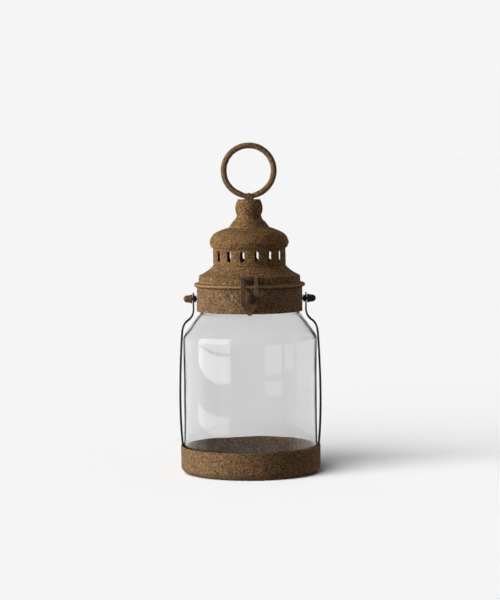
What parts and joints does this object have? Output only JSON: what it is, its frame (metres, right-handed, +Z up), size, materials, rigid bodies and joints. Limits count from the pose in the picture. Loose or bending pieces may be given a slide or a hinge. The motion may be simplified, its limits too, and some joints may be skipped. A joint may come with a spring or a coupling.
{
  "type": "jar lantern",
  "caption": "Rustic iron and glass jar lantern: tray base, bottle-shaped jar, sprung side straps, hinged vented lid with hasp, and a carry ring.",
  "frame": {"origin": "middle of the tray's flat underside, on the lantern's axis", "axes": "+Z up the lantern's axis, -Y towards the hasp (the front), +X to the right seen from the front"},
  "size_m": [0.1426, 0.1406, 0.3302],
  "materials": {
    "rusted_iron": "rust-brown, grainy and pitted, matt",
    "dark_iron": "dark browned iron, slightly smoother",
    "clear_glass": "clear, smooth, slightly wavy"
  },
  "bodies": {
    "base": {"base_tray": "rusted_iron", "glass_jar": "clear_glass", "collar_band": "rusted_iron", "strap_left": "dark_iron", "strap_right": "dark_iron", "pivot_screw_left": "dark_iron", "spacer_left": "dark_iron", "cap_nut_left": "dark_iron", "pivot_screw_right": "dark_iron", "spacer_right": "dark_iron", "cap_nut_right": "dark_iron", "catch_stud": "dark_iron", "hinge_leaf_lower": "rusted_iron", "hinge_pin": "dark_iron", "hinge_rivet_lower_left": "dark_iron", "hinge_rivet_lower_right": "dark_iron"},
    "lid": {"lid_skirt": "rusted_iron", "vent_drum": "rusted_iron", "dome_cap": "rusted_iron", "finial": "rusted_iron", "ring_eye": "rusted_iron", "hasp_bracket": "rusted_iron", "hasp_pin": "dark_iron", "hinge_leaf_upper": "rusted_iron", "hinge_rivet_upper_left": "dark_iron", "hinge_rivet_upper_right": "dark_iron"},
    "hasp": {"hasp_plate": "rusted_iron", "hasp_knob": "dark_iron"},
    "ring": {"carry_ring": "rusted_iron"}
  },
  "joints": [
    {"name": "lid_hinge", "type": "hinge", "parent": "base", "child": "lid", "pos_m": [0, 0.05888, 0.18635], "axis": [-1, 0, 0], "range_deg": [0, 110]},
    {"name": "hasp_swing", "type": "hinge", "parent": "lid", "child": "hasp", "pos_m": [0, -0.05501, 0.19742], "axis": [-1, 0, 0], "range_deg": [0, 165]},
    {"name": "ring_swing", "type": "hinge", "parent": "lid", "child": "ring", "pos_m": [0, 0, 0.2768], "axis": [1, 0, 0], "range_deg": [-90, 90]}
  ]
}
